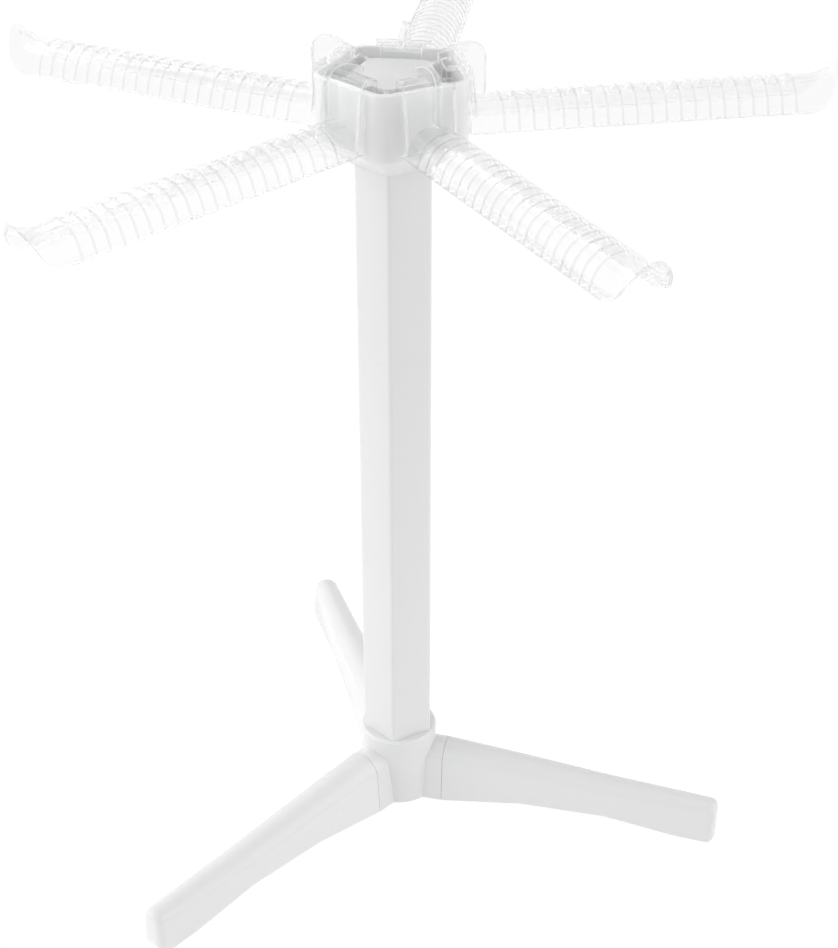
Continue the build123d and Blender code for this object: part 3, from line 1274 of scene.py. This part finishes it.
@dataclass
class WhiteFrame:
    """All white mouldings: base hub, legs, column sections and top hub."""

    hub_finish: WhitePlastic = TRANSLUCENT_WHITE
    dense_finish: WhitePlastic = DENSE_WHITE
    hub_round: float = 0.45 * MM
    base_round: float = 0.12 * MM
    base_ridge: float = 2.0 * MM
    leg_round: float = 0.3 * MM
    leg_ridge: float = 2.2 * MM
    sections: tuple[str, ...] = ("lower", "middle", "upper")
    section_length: float = 118.9 * MM
    seam_chamfer: float = 0.4 * MM
    seam_hairline: float = 0.012 * MM
    leg_seam: float = 28.3 * MM
    leg_seam_shift: float = -0.1 * MM

    def section(self, part: str) -> Moulding:
        """Plan a column section, with the chamfers at both ends drawn in to hairlines.

        Args:
            part: The section's place in the column.

        Returns:
            The moulding.
        """
        node = f"column_{part}"
        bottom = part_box(node)[0][2]
        upright = Vector((0, 0, 1))
        draw = self.seam_chamfer - self.seam_hairline
        low = SeamShift(upright, bottom + self.seam_chamfer, -draw)
        high = SeamShift(upright, bottom + self.section_length - self.seam_chamfer, draw)
        return Moulding(node, node, edge_radius=0, seams=(low, high))

    def leg(self, side: Leg) -> Moulding:
        """Plan a leg, with its seam drawn in towards the base hub.

        Args:
            side: Which leg.

        Returns:
            The moulding.
        """
        seam = SeamShift(side.away, self.leg_seam, self.leg_seam_shift)
        return Moulding(side.node, side.node, self.leg_round, ridge_width=self.leg_ridge, seams=(seam,))

    def build(self) -> list[bpy.types.Object]:
        """Build and dress every white moulding.

        Returns:
            The finished pieces.
        """
        hub = Moulding("top_hub", "top_hub", self.hub_round).build()
        dress(hub, self.hub_finish)
        mouldings = [Moulding("base_hub", "base", self.base_round, ridge_width=self.base_ridge)]
        mouldings += [self.leg(side) for side in Leg]
        mouldings += [self.section(part) for part in self.sections]
        pieces = [moulding.build() for moulding in mouldings]
        for piece in pieces:
            dress(piece, self.dense_finish)
        return [hub, *pieces]


@dataclass
class FootPads:
    """The three soft pads under the legs' tips."""

    finish: SoftRubber = PAD_RUBBER
    edge_round: float = 0.4 * MM
    round_segments: int = 2

    def build(self) -> list[bpy.types.Object]:
        """Build and dress the pads.

        Returns:
            The finished pads.
        """
        pads = []
        for side in Leg:
            pad = Moulding(side.pad_node, side.node, self.edge_round, self.round_segments).build()
            dress(pad, self.finish)
            pads.append(pad)
        return pads


@dataclass(frozen=True)
class SoftLamp:
    """A square soft lamp: its side from +X and its rise, in degrees, and its power, in watts."""

    name: str
    azimuth: float
    elevation: float
    power: float

    @property
    def away(self) -> Vector:
        """The direction from the rack to the lamp."""
        around, up = math.radians(self.azimuth), math.radians(self.elevation)
        return Vector((math.cos(up) * math.cos(around), math.cos(up) * math.sin(around), math.sin(up)))


@dataclass(frozen=True)
class Studio:
    """The pale floor, the soft lamps, the white surroundings and the camera."""

    eye: tuple[float, float, float] = (0.5997, -0.6026, 0.7270)
    look: tuple[float, float, float] = (-0.5949, 0.6143, -0.5183)
    lens: float = 71.63
    sensor: float = 36.0
    nearest: float = 0.01
    farthest: float = 100.0
    floor_size: float = 1.8
    floor_colour: Colour = (0.72, 0.72, 0.72)
    floor_glow: float = 0.43
    shadow_colour: Colour = (0.08, 0.08, 0.08)
    shown_white: float = 0.965
    surround_light: float = 0.36
    lamp_distance: float = 2.0
    lamp_size: float = 2.4
    aim_height: float = 0.25
    lamps: tuple[SoftLamp, ...] = (
        SoftLamp("left", azimuth=-120, elevation=24, power=29),
        SoftLamp("right", azimuth=30, elevation=22, power=25),
        SoftLamp("back", azimuth=180, elevation=26, power=12),
        SoftLamp("top", azimuth=0, elevation=90, power=6),
    )

    def camera(self) -> None:
        """Place the camera at the photograph's viewpoint."""
        data = bpy.data.cameras.new("camera")
        data.lens = self.lens
        data.sensor_width = self.sensor
        data.sensor_fit = "AUTO"
        data.clip_start = self.nearest
        data.clip_end = self.farthest
        eye = bpy.data.objects.new("camera", data)
        eye.location = self.eye
        eye.rotation_mode = "QUATERNION"
        eye.rotation_quaternion = Vector(self.look).to_track_quat("-Z", "Y")
        bpy.context.scene.collection.objects.link(eye)
        bpy.context.scene.camera = eye

    def hang(self, plan: SoftLamp) -> None:
        """Hang a lamp that points at the rack.

        Args:
            plan: The lamp.
        """
        away = plan.away * self.lamp_distance
        data = bpy.data.lights.new(plan.name, "AREA")
        data.shape = "SQUARE"
        data.size = self.lamp_size
        data.energy = plan.power
        lamp = bpy.data.objects.new(plan.name, data)
        lamp.location = Vector((0, 0, self.aim_height)) + away
        lamp.rotation_euler = away.to_track_quat("Z", "Y").to_euler()
        bpy.context.scene.collection.objects.link(lamp)

    def looking_rays(self, board: NodeBoard) -> bpy.types.NodeSocket:
        """Tell the rays that look at the background from those that light the rack.

        Args:
            board: The node tree that needs to know.

        Returns:
            An output that is 1 for what the eye, a glossy face or clear plastic shows, and 0 for light.
        """
        path = board.add("ShaderNodeLightPath").outputs
        either = "ShaderNodeMath"
        eye = board.add(either, path["Is Camera Ray"], path["Is Glossy Ray"], operation="MAXIMUM")
        clear = board.add(either, eye.outputs["Value"], path["Is Transmission Ray"], operation="MAXIMUM")
        return clear.outputs["Value"]

    def glowing(self, board: NodeBoard, colour: Colour, glow: float) -> bpy.types.NodeSocket:
        """Add a matte shader with a white glow of its own.

        Args:
            board: The node tree to add it to.
            colour: The matte colour, which catches light and shadow.
            glow: The glow's strength.

        Returns:
            The shader's output.
        """
        matte = board.add("ShaderNodeBsdfDiffuse", Color=(*colour, 1))
        light = board.add("ShaderNodeEmission", Color=WHITE_LIGHT, Strength=glow)
        both = board.add("ShaderNodeAddShader", matte.outputs["BSDF"], light.outputs["Emission"])
        return both.outputs["Shader"]

    def floor(self) -> None:
        """Lay the pale lit floor, which shows white to the eye and keeps the rack's soft shadow."""
        deselect_all()
        bpy.ops.mesh.primitive_plane_add(size=self.floor_size)
        floor = bpy.context.object
        floor.name = "floor"
        made = bpy.data.materials.new("pale_floor")
        made.use_nodes = True
        board = NodeBoard(made.node_tree)
        lit = self.glowing(board, self.floor_colour, self.floor_glow)
        shown = self.glowing(board, self.shadow_colour, self.shown_white)
        choice = board.add("ShaderNodeMixShader", self.looking_rays(board), lit, shown)
        board.add("ShaderNodeOutputMaterial", Surface=choice.outputs["Shader"])
        floor.data.materials.append(made)

    def surroundings(self) -> None:
        """Make the surroundings white to the eye and a plain soft light to the rack."""
        world = bpy.data.worlds.new("studio")
        bpy.context.scene.world = world
        world.use_nodes = True
        board = NodeBoard(world.node_tree)
        light, white = (
            board.add("ShaderNodeBackground", Color=WHITE_LIGHT, Strength=strength).outputs["Background"]
            for strength in (self.surround_light, 1.0)
        )
        choice = board.add("ShaderNodeMixShader", self.looking_rays(board), light, white)
        board.add("ShaderNodeOutputWorld", Surface=choice.outputs["Shader"])

    def build(self) -> None:
        """Set the whole studio up."""
        bpy.context.scene.view_settings.view_transform = "Standard"
        self.camera()
        self.surroundings()
        self.floor()
        for lamp in self.lamps:
            self.hang(lamp)


def main() -> None:
    """Build the rack piece by piece, then the studio."""
    logging.basicConfig(level=logging.INFO, format="%(name)s: %(message)s")
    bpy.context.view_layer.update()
    WhiteFrame().build()
    FootPads().build()
    ClearArm().build()
    Studio().build()
    deselect_all()


if __name__ == "__main__":
    main()
